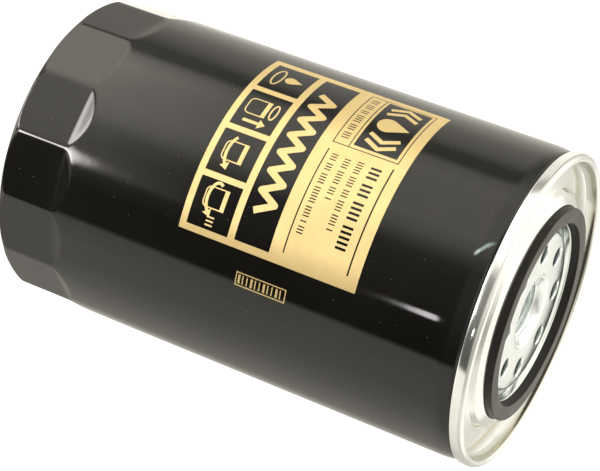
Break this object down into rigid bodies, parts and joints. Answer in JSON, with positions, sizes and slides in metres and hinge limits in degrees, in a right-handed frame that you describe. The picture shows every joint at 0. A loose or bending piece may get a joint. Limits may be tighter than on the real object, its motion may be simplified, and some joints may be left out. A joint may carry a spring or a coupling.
{
  "type": "spin-on oil filter",
  "caption": "Spin-on oil filter: tall black steel can with wrench flats at the closed end, plated rolled seam, threaded plate with inlet holes and a square rubber sealing ring.",
  "frame": {"origin": "centre of the gasket's sealing face", "axes": "+Z along the filter's axis, out of the threaded end; the printed panel faces -Y"},
  "size_m": [0.1064, 0.1064, 0.174],
  "materials": {
    "can_paint": "gloss black enamel with gold screen print",
    "plated_steel": "bright tin and zinc plating",
    "gasket_rubber": "matt, lightly oiled",
    "valve_rubber": "smooth matt",
    "seam_rubber": "matt",
    "adhesive": "matt",
    "filter_paper": "resin-treated paper",
    "spring_steel": "drawn wire"
  },
  "bodies": {
    "canister": {"can": "can_paint", "seaming_lid": "plated_steel", "seam_compound": "seam_rubber", "tapping_plate": "plated_steel", "mounting_gasket": "gasket_rubber", "element_spring": "spring_steel"},
    "drainback_diaphragm": {"drainback_valve": "valve_rubber"},
    "element": {"upper_end_cap": "plated_steel", "lower_end_cap": "plated_steel", "upper_cap_adhesive": "adhesive", "lower_cap_adhesive": "adhesive", "center_tube": "plated_steel", "pleated_media": "filter_paper", "media_seam_clip": "plated_steel", "bypass_valve_seat": "plated_steel", "bypass_cage": "plated_steel", "bypass_spring": "spring_steel", "spring_seat": "plated_steel"},
    "bypass_plunger": {"bypass_seal": "valve_rubber", "bypass_poppet": "plated_steel", "bypass_stem": "plated_steel"}
  },
  "joints": [
    {"name": "element_float", "type": "slide", "parent": "canister", "child": "element", "axis": [0, 0, -1], "range_m": [0, 0.0015], "stiffness_N_per_m": 9000, "springref_m": -0.008, "deforming": ["element_spring"]},
    {"name": "drainback_lift", "type": "slide", "parent": "canister", "child": "drainback_diaphragm", "axis": [0, 0, -1], "range_m": [0, 0.0015], "stiffness_N_per_m": 400, "springref_m": -0.001, "deforming": ["drainback_valve"]},
    {"name": "bypass_lift", "type": "slide", "parent": "element", "child": "bypass_plunger", "axis": [0, 0, 1], "range_m": [0, 0.004], "stiffness_N_per_m": 3000, "springref_m": -0.006, "deforming": ["bypass_spring"]}
  ]
}
